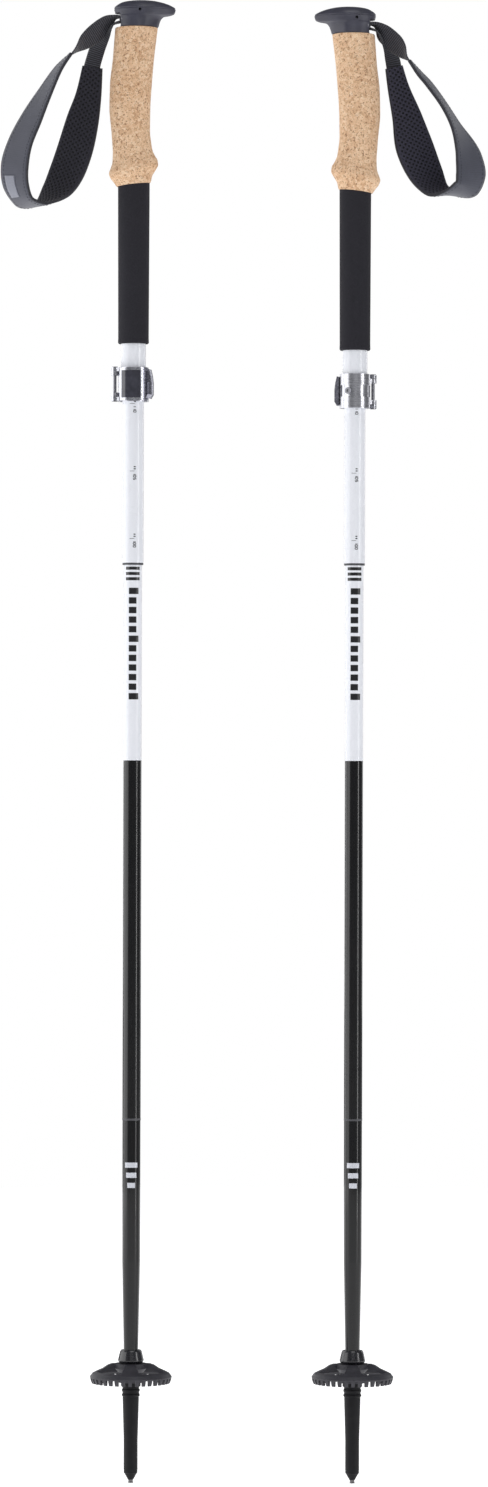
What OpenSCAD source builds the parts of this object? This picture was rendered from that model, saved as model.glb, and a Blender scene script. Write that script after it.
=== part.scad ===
// A pair of folding trekking poles. +Z is up, the tips stand on Z = 0, and the
// poles stand side by side along X with their wrist straps on the outside.

/* [Pair] */
// Length that the left pole is set to, tip to top of the head
pole_length = 1100; // [1020:1:1180]
// How much shorter the right pole is set
right_shorter = 4.5; // [0:0.5:10]
// Distance between the two poles
pole_spacing = 164.4; // [160:0.1:220]

/* [Tubes] */
// Outside radius of the upper tube, which carries the grip
upper_r = 9.2; // [9.2:0.1:9.4]
// Outside radius of the adjusting shaft
shaft_r = 7.8; // [7.5:0.1:7.8]
// Outside radius of the middle section
mid_r = 6.75; // [6.5:0.05:6.9]
// Outside radius of the lower section above its taper
lower_r = 6.65; // [6.4:0.05:6.8]
// Outside radius of the lower section at the collar
lower_end_r = 5.4; // [5:0.1:6]
// Wall of the folding sections
tube_wall = 1.15; // [1:0.05:1.3]
// Clearance round the sliding shaft
slide_gap = 0.05; // [0.02:0.01:0.1]

/* [Heights] */
// Height of the joint between the adjusting shaft and the middle section
joint1_z = 681; // [660:1:700]
// Height of the joint between the middle and lower sections
joint2_z = 269; // [250:1:290]

/* [Grip] */
// Radius of the foam sleeve at its top
foam_top_r = 11.75; // [11.4:0.05:12]
// Radius of the foam sleeve at its bottom
foam_bottom_r = 11.35; // [11.2:0.05:11.7]

/* [Clamp] */
// Outside radius of the clamp band
band_r = 11.4; // [11.2:0.1:11.5]
// Radius of the lever's pivot pin
pivot_r = 1.3; // [1.2:0.05:1.5]

/* [Strap] */
// Thickness of the ribbed webbing
webbing_t = 1.5; // [1.2:0.1:1.8]
// Thickness of the padded band
band_t = 2.8; // [2:0.1:3.2]
// Radius of the pin that holds the webbing
strap_pin_r = 1.5; // [1.3:0.1:1.6]

/* [Basket and tip] */
// Radius of the basket
basket_r = 30.4; // [28:0.1:31]
// Teeth round the basket's rim
teeth = 36; // [24:2:40]
// Radius of the seat on the tip that takes a rubber tip protector
tip_seat_r = 5.2; // [5:0.1:5.4]

/* [Hidden] */
PARTS = [
    "head_cap", "strap_pin", "cork_grip", "foam_sleeve", "upper_tube",
    "clamp_band", "clamp_pin", "clamp_screw", "clamp_lever", "lever_cover",
    "adjusting_shaft", "shaft_socket", "shaft_cord",
    "mid_tube", "mid_cone", "mid_socket", "mid_cord", "button_spring", "release_button",
    "lower_tube", "lower_cone", "lower_cord", "tip_collar", "basket", "tip_body", "carbide_tip",
    "strap_webbing", "strap_band"
];

$fn = 64;
eps = 0.01;

// Heights of the parts that the setting doesn't move
collar_top_z = 98.6;
collar_bottom_z = 89;
thread_top_z = 74;
thread_bottom_z = 64;
tip_shoulder_z = 10;
taper_top_z = 164;
shaft_top_z = 965;
button_z = 664;

// Heights of the parts on the upper tube, measured down from the head's top
top_z = pole_length;
cap_base_z = top_z - 20.4;
cork_bottom_z = top_z - 137;
foam_bottom_z = top_z - 255;
clamp_top_z = top_z - 272.6;
clamp_bottom_z = top_z - 297.9;
clamp_h = clamp_top_z - clamp_bottom_z;

tube_bore_r = shaft_r + slide_gap;
tube_seat_r = upper_r + 0.03;
cone_h = 5;
cord_r = 1.2;
cord_bore_r = 1.3;
flange_h = 1.5;
insert_gap = 0.05;

strap_pin_x = -8;
strap_pin_z = top_z - 14.4;
strap_pin_l = 18.8;
vent_r = 1.1;
vent_h = 10;
webbing_w = 15;
pivot_x = -13.6;
pivot_y = -6.5;
knuckle_r = 2.7;
lever_in_r = band_r + 0.35;
lever_out_r = lever_in_r + 2;
lever_start = 222;
lever_end = 322;

// Plan rings of the cork: height under the top, strap-side edge, beak-side edge,
// half depth and the ring's slope towards the beak
CORK = [
    [137, -13.2, 12.6, 12.7, 0.115],
    [132.5, -15.2, 13.6, 14.2, 0.16],
    [128.5, -17.6, 16.4, 16.2, 0.18],
    [125.2, -18.5, 18, 17, 0.18],
    [122, -17.4, 17.6, 16.5, 0.18],
    [118, -16, 15.8, 15.3, 0.15],
    [112, -15.7, 13.7, 14.6, 0.08],
    [106, -16.1, 12.8, 14.4, 0.03],
    [97, -16.8, 11.9, 14.4, 0],
    [80, -18.3, 12.1, 14.9, 0],
    [62, -17.9, 13.2, 15, 0],
    [44, -15.9, 14.7, 15, 0],
    [26, -14.5, 16.8, 15, 0],
    [20.4, -14, 17.4, 15, 0]
];

// Plan rings of the head: height under the top, strap-side edge, beak-side edge, half depth
HEAD = [
    [20.3, -12.8, 17.9, 14.2],
    [16.5, -13.1, 19, 13.8],
    [14.3, -13.5, 20, 13.6],
    [12.3, -13.9, 22.2, 13.7],
    [11.2, -14.1, 28.6, 13.9],
    [9.6, -14.3, 30, 14.2],
    [7.6, -14.8, 30.7, 14.7],
    [6, -15, 30, 14.8],
    [3.6, -12.6, 26, 12.9],
    [1.6, -8.9, 20, 9.8],
    [0.5, -3.5, 14.5, 5.6],
    [0, 0, 10, 2.5]
];

// Blind holes in the head's two sides: x, the end towards +Y, and depth under the top
VENTS = [[4.5, -10, 8.1], [-0.6, 20, 9]];

// Stations along a strap: x, y, depth under the top, width, and the turn of the width
// about the run, 0 in the plane of the loop and -90 straight across it. Each strap has
// its webbing's outward run, its padded band and its webbing's run back to the pin.
LEFT_STRAP = [
    [
        [-10, 0, 12.4, 13, -90],
        [-14, -0.5, 12.9, 13.5, -98],
        [-20, -1.5, 17.3, 14.5, -135],
        [-28, -3.5, 24.3, 15, -150],
        [-36, -5.5, 31, 15, -132],
        [-43, -7, 37.5, 15, -96],
        [-49, -8.3, 43.5, 15, -78]
    ],
    [
        [-47.5, -8, 41.5, 16, -84],
        [-56, -10, 52, 18, -70],
        [-66, -11, 70, 24, -62],
        [-75.5, -11, 88.5, 27, -53],
        [-84, -11, 107, 29, -50],
        [-88, -10.5, 124, 29, -45],
        [-87, -8.5, 139, 29, -52],
        [-80.5, -4, 150.3, 29, -72],
        [-69, 2, 151.3, 29, -100],
        [-58, 6.5, 141, 29, -135],
        [-50.5, 8.5, 128, 29.5, -152],
        [-44, 9, 110, 29.5, -155],
        [-38.3, 9, 88, 25.5, -162],
        [-34, 7.5, 70, 20, -165],
        [-31, 5, 49, 16, -160]
    ],
    [
        [-31.8, 5, 50.5, 13, -160],
        [-29.8, 4.6, 43, 13, -158],
        [-26.5, 3.4, 33.5, 13.5, -150],
        [-21.4, 1.8, 25, 13.5, -130],
        [-15.6, 0.6, 18, 13, -96],
        [-10, 0, 15.9, 12.6, -90]
    ]
];
RIGHT_STRAP = [
    [
        [-10, 0, 12.4, 13, -90],
        [-15, -1, 14, 13.5, -105],
        [-21.5, -2.5, 20.5, 14.5, -150],
        [-28.5, -4, 27, 15, -150],
        [-34, -5.5, 33, 15, -125],
        [-38.5, -7, 39, 15, -88],
        [-42, -8, 43.5, 15, -80]
    ],
    [
        [-40.5, -7.5, 41.5, 16, -84],
        [-47.3, -9, 50.3, 18, -76],
        [-54.7, -10.5, 59, 20, -74],
        [-65.4, -11.5, 74, 24, -76],
        [-74, -11.5, 89, 27, -72],
        [-80.5, -11, 102.7, 29, -58],
        [-84, -10, 114, 29, -46],
        [-85.3, -9, 125.5, 29, -42],
        [-82, -6.5, 134.8, 29, -58],
        [-70.5, -1, 138.6, 29, -90],
        [-60, 5, 135, 29, -125],
        [-52, 8.5, 122, 29.5, -152],
        [-44, 9, 102.7, 30, -160],
        [-38.4, 8.5, 81, 23, -166],
        [-32.2, 7, 60.5, 17, -165],
        [-28.5, 5, 44, 14, -160]
    ],
    [
        [-28.7, 5, 45.5, 12, -160],
        [-27.5, 4.5, 39, 12, -158],
        [-24.6, 3.5, 31, 12.5, -132],
        [-20.3, 1.8, 23.4, 13, -112],
        [-15.6, 0.6, 18, 13, -96],
        [-10, 0, 15.9, 12.6, -90]
    ]
];

// A smooth curve through rows of numbers, with every column eased alike
function eased(a, b, c, d, t) =
    0.5 * (2 * b + (c - a) * t + (2 * a - 5 * b + 4 * c - d) * t * t + (3 * b - a - 3 * c + d) * t * t * t);
function smooth_rows(rows, steps) = [
    for (i = [0 : len(rows) - 2])
        for (s = [0 : steps - 1])
            eased(rows[max(i - 1, 0)], rows[i], rows[i + 1], rows[min(i + 2, len(rows) - 1)], s / steps),
    rows[len(rows) - 1]
];

function unit(v) = v / norm(v);

// The four corners of a flat band's section at each station of its run
function band_ring(at, along, width, turn, thick) =
    let (flat = unit([along[0], 0, along[2]]))
    let (inward = [-flat[2], 0, flat[0]])
    let (raw = cos(turn) * inward + sin(turn) * [0, 1, 0])
    let (across = unit(raw - (raw * along) * along))
    let (up = cross(along, across))
    [for (c = [[-1, -1], [1, -1], [1, 1], [-1, 1]]) at + c[0] * width / 2 * across + c[1] * thick / 2 * up];

module skin(rings) {
    n = len(rings[0]);
    last = len(rings) - 1;
    polyhedron(
        points = [for (ring = rings) for (p = ring) p],
        faces = concat(
            [[for (i = [0 : n - 1]) i]],
            [for (k = [0 : last - 1]) for (i = [0 : n - 1]) [k * n + i, (k + 1) * n + i, (k + 1) * n + (i + 1) % n]],
            [for (k = [0 : last - 1]) for (i = [0 : n - 1]) [k * n + i, (k + 1) * n + (i + 1) % n, k * n + (i + 1) % n]],
            [[for (i = [n - 1 : -1 : 0]) last * n + i]]
        )
    );
}

module flat_band(stations, thick) {
    rows = smooth_rows(stations, 4);
    spots = [for (r = rows) [r[0], r[1], top_z - r[2]]];
    end = len(rows) - 1;
    skin([
        for (i = [0 : end])
            band_ring(spots[i], unit(spots[min(i + 1, end)] - spots[max(i - 1, 0)]), rows[i][3], rows[i][4], thick)
    ]);
}

// A ring of points in plan; beak narrows the head towards its point
function plan_ring(row, sides, beak) =
    let (cx = (row[1] + row[2]) / 2, rx = (row[2] - row[1]) / 2, slope = len(row) > 4 ? row[4] : 0)
    [for (i = [0 : sides - 1])
        let (a = -360 * i / sides, x = cx + rx * cos(a))
        let (narrow = 1 - beak * max(0, x - 8) / 24)
        [x, row[3] * sin(a) * narrow, top_z - row[0] + slope * x]];

module tube(low, high, out_r, in_r) {
    translate([0, 0, low]) difference() {
        cylinder(h = high - low, r = out_r);
        translate([0, 0, -1]) cylinder(h = high - low + 2, r = in_r);
    }
}

module arc_wall(in_r, out_r, from, to, low, high) {
    rotate([0, 0, from]) rotate_extrude(angle = to - from)
        translate([in_r, low]) square([out_r - in_r, high - low]);
}

// --- upper section -----------------------------------------------------------

module head_cap() {
    color([0.29, 0.29, 0.34]) difference() {
        skin([for (row = HEAD) plan_ring(row, 48, 0.45)]);
        // Mouth of the strap, open at the strap side, and the pocket round its pin
        translate([-30, -20, cap_base_z - 2]) cube([20, 40, 12.6]);
        translate([-12, -8.4, cap_base_z + 0.3]) cube([8.6, 16.8, 9.5]);
        strap_pin_shape();
        for (vent = VENTS)
            translate([vent[0], vent[1], top_z - vent[2]]) rotate([90, 0, 0]) cylinder(h = vent_h, r = vent_r);
    }
}

module strap_pin_shape() {
    translate([strap_pin_x, strap_pin_l / 2, strap_pin_z]) rotate([90, 0, 0])
        cylinder(h = strap_pin_l, r = strap_pin_r);
}

module strap_pin() {
    color("silver") strap_pin_shape();
}

module cork_grip() {
    color([0.86, 0.71, 0.54]) difference() {
        skin([for (row = CORK) plan_ring(row, 48, 0)]);
        translate([0, 0, cork_bottom_z - 10]) cylinder(h = 140, r = tube_seat_r);
    }
}

module foam_sleeve() {
    h = cork_bottom_z - foam_bottom_z;
    color([0.15, 0.15, 0.17]) difference() {
        translate([0, 0, foam_bottom_z]) rotate_extrude() polygon([
            [tube_seat_r, 0], [foam_bottom_r - 0.5, 0], [foam_bottom_r + 0.1, 0.8], [foam_bottom_r + 0.1, 2.2],
            [foam_bottom_r, 4], [foam_top_r, h - 4], [foam_top_r, h + 3], [tube_seat_r, h + 3]
        ]);
        // The top is cut on the cork's slope
        multmatrix([[1, 0, 0, 0], [0, 1, 0, 0], [0.115, 0, 1, cork_bottom_z - 0.02], [0, 0, 0, 1]])
            translate([-20, -20, 0]) cube([40, 40, 10]);
    }
}

module upper_tube() {
    color("white") difference() {
        tube(clamp_bottom_z + 0.4, cap_base_z - 0.1, upper_r, tube_bore_r);
        // Slit that lets the clamp squeeze the tube
        rotate([0, 0, 188]) translate([0, -0.8, clamp_bottom_z - 1]) cube([20, 1.6, clamp_h + 5]);
    }
}

// --- clamp ---------------------------------------------------------------------

module at_pivot(low) { translate([pivot_x, pivot_y, low]) children(); }

module clamp_band() {
    ear_h = 3.2;
    color([0.8, 0.8, 0.83]) difference() {
        union() {
            tube(clamp_bottom_z, clamp_top_z, band_r, upper_r + 0.03);
            for (low = [clamp_bottom_z + 3.2, clamp_top_z - 3.2 - ear_h]) at_pivot(low) {
                cylinder(h = ear_h, r = knuckle_r);
                rotate([0, 0, 25]) translate([0, -2, 0]) cube([4.6, 4, ear_h]);
            }
        }
        at_pivot(clamp_bottom_z - 1) cylinder(h = clamp_h + 2, r = pivot_r + 0.02);
        rotate([0, 0, 188]) translate([0, -0.8, clamp_bottom_z - 1]) cube([20, 1.6, clamp_h + 2]);
        arc_wall(band_r - 0.9, band_r + 2, 20, 172, clamp_bottom_z + 8.4, clamp_top_z - 8.4);
        clamp_screw_shape(0.03);
        cylinder(h = top_z, r = upper_r + 0.03);
    }
}

module clamp_pin() {
    color("gray") {
        at_pivot(clamp_bottom_z + 0.3) cylinder(h = clamp_h - 0.6, r = pivot_r);
        for (low = [clamp_bottom_z - 0.3, clamp_top_z - 0.3]) at_pivot(low) cylinder(h = 0.6, r = 2.1);
    }
}

module clamp_screw_shape(gap) {
    rotate([0, 0, 63]) translate([upper_r + 0.1, 0, (clamp_bottom_z + clamp_top_z) / 2]) rotate([0, 90, 0])
        cylinder(h = band_r - upper_r - 0.3, r = 1.5 + gap);
}

module clamp_screw() {
    color("dimgray") difference() {
        union() {
            clamp_screw_shape(0);
            rotate([0, 0, 63]) translate([band_r - 0.85, 0, (clamp_bottom_z + clamp_top_z) / 2])
                rotate([0, 90, 0]) cylinder(h = 1.2, r = 2.5);
        }
        rotate([0, 0, 63]) translate([band_r - 0.45, 0, (clamp_bottom_z + clamp_top_z) / 2])
            rotate([0, 90, 0]) cylinder(h = 2, r = 1.2, $fn = 6);
    }
}

module clamp_lever() {
    low = clamp_bottom_z + 0.5;
    high = clamp_top_z - 0.5;
    color([0.72, 0.72, 0.76]) difference() {
        union() {
            arc_wall(lever_in_r, lever_out_r, lever_start, lever_end, low, high);
            // Finger end of the lever, wrapped round the beak side
            rotate([0, 0, lever_end - 8]) rotate_extrude(angle = 50) polygon([
                [lever_in_r + 0.2, low + 2], [lever_out_r - 0.3, low + 1.5], [15.2, low + 4.5], [15.2, high - 11],
                [14.6, high - 6], [lever_out_r - 0.3, high - 1], [lever_in_r + 0.2, high - 1.4]
            ]);
            for (eye = [low - 0.2, high - 2.6]) at_pivot(eye) {
                cylinder(h = 2.8, r = knuckle_r);
                rotate([0, 0, -26]) translate([0, -1.3, 0]) cube([4.3, 2.6, 2.8]);
            }
        }
        at_pivot(clamp_bottom_z - 1) cylinder(h = clamp_h + 2, r = pivot_r + 0.05);
        // Window that the dark cover fills
        arc_wall(lever_in_r + 0.9, lever_out_r + 1, 232, 294, low + 2, high - 2);
    }
}

module lever_cover() {
    color([0.18, 0.18, 0.21])
        arc_wall(lever_in_r + 0.95, lever_out_r + 0.35, 232.3, 293.7, clamp_bottom_z + 2.6, clamp_top_z - 2.6);
}

// --- folding sections ------------------------------------------------------------

// A cone over a plug, with the cord's hole down its middle
module cone_insert(z, plug_r, plug_h, base_r, tip_r) {
    difference() {
        union() {
            translate([0, 0, z - plug_h]) cylinder(h = plug_h - insert_gap, r = plug_r);
            translate([0, 0, z - insert_gap - eps]) cylinder(h = cone_h + insert_gap, r1 = base_r, r2 = tip_r);
        }
        translate([0, 0, z - plug_h - 1]) cylinder(h = plug_h + cone_h + 2, r = cord_bore_r);
    }
}

// A socket with a flange under the tube's end, hollowed for the cone below it
module cone_socket(z, plug_r, plug_h, flange_r, base_r, tip_r) {
    difference() {
        union() {
            translate([0, 0, z]) cylinder(h = plug_h, r = plug_r);
            translate([0, 0, z]) cylinder(h = flange_h, r = flange_r);
        }
        translate([0, 0, z - eps]) cylinder(h = cone_h + 0.1, r1 = base_r + 0.1, r2 = tip_r + 0.1);
        translate([0, 0, z]) cylinder(h = plug_h + 1, r = cord_bore_r);
    }
}

module adjusting_shaft() {
    color("white") tube(joint1_z + flange_h, shaft_top_z, shaft_r, shaft_r - tube_wall);
}

module shaft_socket() {
    color("dimgray") cone_socket(joint1_z, shaft_r - tube_wall - 0.05, 34, shaft_r - 0.05, 5.4, 2.6);
}

// Cord above the joint and the stop that it pulls on
module shaft_cord() {
    color("firebrick") {
        translate([0, 0, joint1_z + cone_h + 0.3]) cylinder(h = 29, r = cord_r);
        translate([0, 0, joint1_z + 34]) cylinder(h = 7, r = 3.4);
    }
}

module mid_tube() {
    color("white") difference() {
        tube(joint2_z + flange_h, joint1_z - insert_gap, mid_r, mid_r - tube_wall);
        translate([0, 0, button_z]) rotate([-90, 0, 0]) cylinder(h = 20, r = 2.56);
    }
}

module mid_cone() {
    color("dimgray") cone_insert(joint1_z, mid_r - tube_wall - 0.05, 8, 5.4, 2.6);
}

module mid_socket() {
    color("dimgray") cone_socket(joint2_z, mid_r - tube_wall - 0.05, 24, mid_r + 0.12, 4.8, 2.2);
}

module mid_cord() {
    color("firebrick")
        translate([0, 0, joint2_z + cone_h + 0.3]) cylinder(h = joint1_z - joint2_z - 0.5, r = cord_r);
}

module button_spring() {
    color("silver") arc_wall(mid_r - tube_wall - 0.5, mid_r - tube_wall - 0.1, 138, 402, button_z - 2.5, button_z + 2.5);
}

module release_button() {
    color("silver") translate([0, 0, button_z]) rotate([-90, 0, 0]) {
        translate([0, 0, 3.2]) cylinder(h = 5.2, r = 2.5);
        translate([0, 0, 3.2]) cylinder(h = 1.1, r = 3.2);
        translate([0, 0, 8.4 - eps]) cylinder(h = 0.4, r1 = 2.5, r2 = 2.1);
    }
}

module lower_tube() {
    color([0.06, 0.06, 0.07]) rotate_extrude() polygon([
        [lower_end_r - 1, thread_top_z], [lower_end_r, thread_top_z], [lower_end_r, collar_top_z],
        [lower_r, taper_top_z], [lower_r, joint2_z - insert_gap], [lower_r - tube_wall, joint2_z - insert_gap],
        [lower_r - tube_wall, taper_top_z]
    ]);
}

module lower_cone() {
    color("dimgray") cone_insert(joint2_z, lower_r - tube_wall - 0.05, 20, 4.8, 2.2);
}

// Cord below the joint and the stop under the cone's plug
module lower_cord() {
    color("firebrick") {
        translate([0, 0, joint2_z - 20]) cylinder(h = 20 + cone_h, r = cord_r);
        translate([0, 0, joint2_z - 27]) cylinder(h = 7, r = 3.2);
    }
}

// --- basket and tip ----------------------------------------------------------------

module tip_collar() {
    color([0.08, 0.08, 0.1]) translate([0, 0, collar_bottom_z]) rotate_extrude() polygon([
        [lower_end_r + 0.05, 0], [8.4, 0], [9.6, 1.6], [9.6, 2.2], [8.1, 8.6], [7.4, collar_top_z - collar_bottom_z],
        [lower_end_r + 0.05, collar_top_z - collar_bottom_z]
    ]);
}

module basket() {
    color([0.16, 0.16, 0.19]) difference() {
        translate([0, 0, thread_top_z]) rotate_extrude() polygon([
            [7.35, 0.5], [9.4, 0.5], [9.4, 8], [12, 11], [16, 10.6], [21, 8.2], [25.6, 6.2], [27.4, 4.2],
            [27.6, 0], [basket_r - 1.4, 0], [basket_r - 0.4, 2.6], [basket_r, 5], [28.6, 7.4], [26.3, 8.6],
            [21.4, 10.8], [17.5, 13.4], [14.6, 14.4], [10.4, 14.6], [7.35, 14.6]
        ]);
        // Windows between the four arms
        for (a = [45 : 90 : 359]) rotate([0, 0, a]) arc_wall(12, 26, -30, 30, thread_top_z + 3, thread_top_z + 20);
        // Teeth round the rim
        for (i = [0 : teeth - 1]) rotate([0, 0, 360 * (i + 0.5) / teeth])
            translate([26, -1.25, thread_top_z - 3]) cube([8, 2.5, 7]);
    }
}

module tip_body() {
    color([0.16, 0.16, 0.18]) difference() {
        rotate_extrude() polygon([
            [0, 2.4], [2, 2.4], [4.6, 7], [5.1, 7.4], [5.1, 9.4], [tip_seat_r, tip_shoulder_z],
            [tip_seat_r, tip_shoulder_z + 22], [6.05, thread_bottom_z - 2], [6.05, thread_bottom_z],
            [6.7, thread_bottom_z + 0.6], [6.7, thread_bottom_z + 1.6], [6.2, thread_bottom_z + 2.4],
            [6.2, thread_bottom_z + 3.4], [6.7, thread_bottom_z + 4.2], [6.7, thread_bottom_z + 5.2],
            [6.2, thread_bottom_z + 6], [6.2, thread_bottom_z + 7], [7.3, thread_bottom_z + 8],
            [7.3, collar_bottom_z - 0.05], [0, collar_bottom_z - 0.05]
        ]);
        translate([0, 0, thread_top_z - 0.05]) cylinder(h = 30, r = lower_end_r + 0.05);
        translate([0, 0, -1]) cylinder(h = 12, r = 1.55);
    }
}

module carbide_tip() {
    color("gray") rotate_extrude() polygon([
        [0, 0.8], [1.1, 0], [2, 0], [1.6, 1.4], [1.8, 2.35], [1.5, 2.4], [1.5, 10.9], [0, 10.9]
    ]);
}

// --- strap --------------------------------------------------------------------------

module strap_webbing(strap) {
    color([0.17, 0.17, 0.2]) difference() {
        union() {
            flat_band(strap[0], webbing_t);
            flat_band(strap[2], webbing_t);
            translate([strap_pin_x, 7.5, strap_pin_z]) rotate([90, 0, 0])
                cylinder(h = webbing_w, r = strap_pin_r + webbing_t);
        }
        translate([strap_pin_x, 20, strap_pin_z]) rotate([90, 0, 0])
            cylinder(h = 40, r = strap_pin_r + 0.05);
    }
}

module strap_band(strap) {
    color([0.28, 0.29, 0.35]) flat_band(strap[1], band_t);
}

// --- assembly -------------------------------------------------------------------------

module part(name, strap) {
    if (name == "head_cap") head_cap();
    if (name == "strap_pin") strap_pin();
    if (name == "cork_grip") cork_grip();
    if (name == "foam_sleeve") foam_sleeve();
    if (name == "upper_tube") upper_tube();
    if (name == "clamp_band") clamp_band();
    if (name == "clamp_pin") clamp_pin();
    if (name == "clamp_screw") clamp_screw();
    if (name == "clamp_lever") clamp_lever();
    if (name == "lever_cover") lever_cover();
    if (name == "adjusting_shaft") adjusting_shaft();
    if (name == "shaft_socket") shaft_socket();
    if (name == "shaft_cord") shaft_cord();
    if (name == "mid_tube") mid_tube();
    if (name == "mid_cone") mid_cone();
    if (name == "mid_socket") mid_socket();
    if (name == "mid_cord") mid_cord();
    if (name == "button_spring") button_spring();
    if (name == "release_button") release_button();
    if (name == "lower_tube") lower_tube();
    if (name == "lower_cone") lower_cone();
    if (name == "lower_cord") lower_cord();
    if (name == "tip_collar") tip_collar();
    if (name == "basket") basket();
    if (name == "tip_body") tip_body();
    if (name == "carbide_tip") carbide_tip();
    if (name == "strap_webbing") strap_webbing(strap);
    if (name == "strap_band") strap_band(strap);
}

function is_upper(name) = len([for (i = [0 : 9]) if (PARTS[i] == name) i]) > 0;
function is_strap(name) = name == "strap_webbing" || name == "strap_band";

module left(name) {
    translate([-pole_spacing / 2, 0, 0]) part(name, LEFT_STRAP);
}

// The right grip is turned to face the left one, its strap is on the other side,
// and the sections below it are not turned
module right(name) {
    translate([pole_spacing / 2, 0, 0]) {
        if (is_strap(name)) translate([0, 0, -right_shorter]) mirror([1, 0, 0]) part(name, RIGHT_STRAP);
        else if (is_upper(name)) translate([0, 0, -right_shorter]) rotate([0, 0, 180]) part(name, RIGHT_STRAP);
        else part(name, RIGHT_STRAP);
    }
}

for (name = PARTS) {
    left(name);
    right(name);
}
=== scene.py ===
"""Looks for the pair of folding trekking poles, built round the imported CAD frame."""
import bmesh
import bpy
import math
import numpy as np
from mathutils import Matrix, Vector


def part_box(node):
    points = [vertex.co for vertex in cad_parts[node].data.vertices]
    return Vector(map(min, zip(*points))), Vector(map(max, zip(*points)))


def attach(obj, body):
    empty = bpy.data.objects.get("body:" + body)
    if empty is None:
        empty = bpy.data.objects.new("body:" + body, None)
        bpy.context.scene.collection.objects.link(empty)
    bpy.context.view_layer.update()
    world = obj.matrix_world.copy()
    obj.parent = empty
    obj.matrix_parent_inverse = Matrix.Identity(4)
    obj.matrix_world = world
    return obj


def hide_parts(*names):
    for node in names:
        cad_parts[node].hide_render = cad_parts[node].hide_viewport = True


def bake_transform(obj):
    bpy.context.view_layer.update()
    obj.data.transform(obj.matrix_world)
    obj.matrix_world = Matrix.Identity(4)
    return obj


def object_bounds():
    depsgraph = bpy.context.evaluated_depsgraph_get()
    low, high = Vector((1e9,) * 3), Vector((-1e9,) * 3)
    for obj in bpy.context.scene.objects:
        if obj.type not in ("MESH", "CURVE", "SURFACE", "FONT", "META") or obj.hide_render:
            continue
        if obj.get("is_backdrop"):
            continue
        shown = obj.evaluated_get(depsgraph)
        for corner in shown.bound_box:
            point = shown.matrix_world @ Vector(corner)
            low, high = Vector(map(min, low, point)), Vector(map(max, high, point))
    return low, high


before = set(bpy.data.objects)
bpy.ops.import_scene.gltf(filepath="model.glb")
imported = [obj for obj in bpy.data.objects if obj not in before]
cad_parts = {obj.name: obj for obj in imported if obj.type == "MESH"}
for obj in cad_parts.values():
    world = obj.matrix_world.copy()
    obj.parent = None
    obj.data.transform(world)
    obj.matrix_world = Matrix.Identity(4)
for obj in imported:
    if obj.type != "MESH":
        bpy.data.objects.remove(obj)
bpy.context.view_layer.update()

MM = 0.001
SIDES = ("left", "right")

# Where each pole stands, from the frame
AXIS_X, TOP_Z = {}, {}
for side in SIDES:
    low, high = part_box(f"{side}_upper_tube")
    AXIS_X[side] = (low.x + high.x) / 2
    TOP_Z[side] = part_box(f"{side}_head_cap")[1].z


# --- camera, floor and light ----------------------------------------------------
# Places and sizes in metres, angles in degrees, light power in watts

CAMERA_AT = (0.0006, -4.5, 0.5487)
CAMERA_ROLL = 0.146
LENS = 146.8
SENSOR = 36
FLOOR_R = 3
FLOOR_DROP = 0.0002
FLOOR_GLOW = 0.75
WORLD_FILL = 0.17
LIGHT_AIM = (0, 0, 0.6)

# Each light: azimuth, height, distance, size, power
LIGHTS = {
    "panel_left": (-88, 1.0, 2.4, (3.6, 2.4), 52),
    "strip_right": (60, 0.9, 2.4, (0.2, 2.4), 16),
    "front_soft": (8, 2.1, 3.4, (1.6, 0.8), 12),
    "top_soft": (20, 3.0, 0.8, (1.4, 1.4), 14),
    "back_left": (-150, 1.2, 2.6, (0.8, 2.0), 10),
    "back_right": (140, 1.2, 2.6, (0.8, 2.0), 7),
}


def make_camera():
    data = bpy.data.cameras.new("camera")
    data.sensor_width = SENSOR
    data.lens = LENS
    camera = bpy.data.objects.new("camera", data)
    bpy.context.scene.collection.objects.link(camera)
    camera.location = CAMERA_AT
    camera.rotation_mode = "XYZ"
    camera.rotation_euler = (math.radians(90), 0, 0)
    camera.rotation_euler.rotate_axis("Z", math.radians(CAMERA_ROLL))
    bpy.context.scene.camera = camera


def make_floor():
    mesh = bpy.data.meshes.new("floor")
    form = bmesh.new()
    bmesh.ops.create_circle(form, cap_ends=True, segments=96, radius=FLOOR_R)
    form.to_mesh(mesh)
    form.free()
    floor = bpy.data.objects.new("floor", mesh)
    bpy.context.scene.collection.objects.link(floor)
    floor.location.z = -FLOOR_DROP
    paint = bpy.data.materials.new("floor_paint")
    paint.use_nodes = True
    shader = paint.node_tree.nodes["Principled BSDF"]
    shader.inputs["Base Color"].default_value = (0.9, 0.9, 0.9, 1)
    shader.inputs["Roughness"].default_value = 0.9
    shader.inputs["Emission Color"].default_value = (1, 1, 1, 1)
    shader.inputs["Emission Strength"].default_value = FLOOR_GLOW
    mesh.materials.append(paint)
    floor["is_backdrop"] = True


def make_light(name, azimuth, height, distance, size, power):
    """A soft box standing at an azimuth round the poles: 0 is the camera's side, 90 is +X."""
    data = bpy.data.lights.new(name, "AREA")
    data.shape = "RECTANGLE"
    data.size, data.size_y = size
    data.energy = power
    light = bpy.data.objects.new(name, data)
    bpy.context.scene.collection.objects.link(light)
    a = math.radians(azimuth)
    light.location = (distance * math.sin(a), -distance * math.cos(a), height)
    aim = Vector(LIGHT_AIM) - light.location
    light.rotation_euler = aim.to_track_quat("-Z", "Y").to_euler()
    light.visible_camera = False


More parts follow.
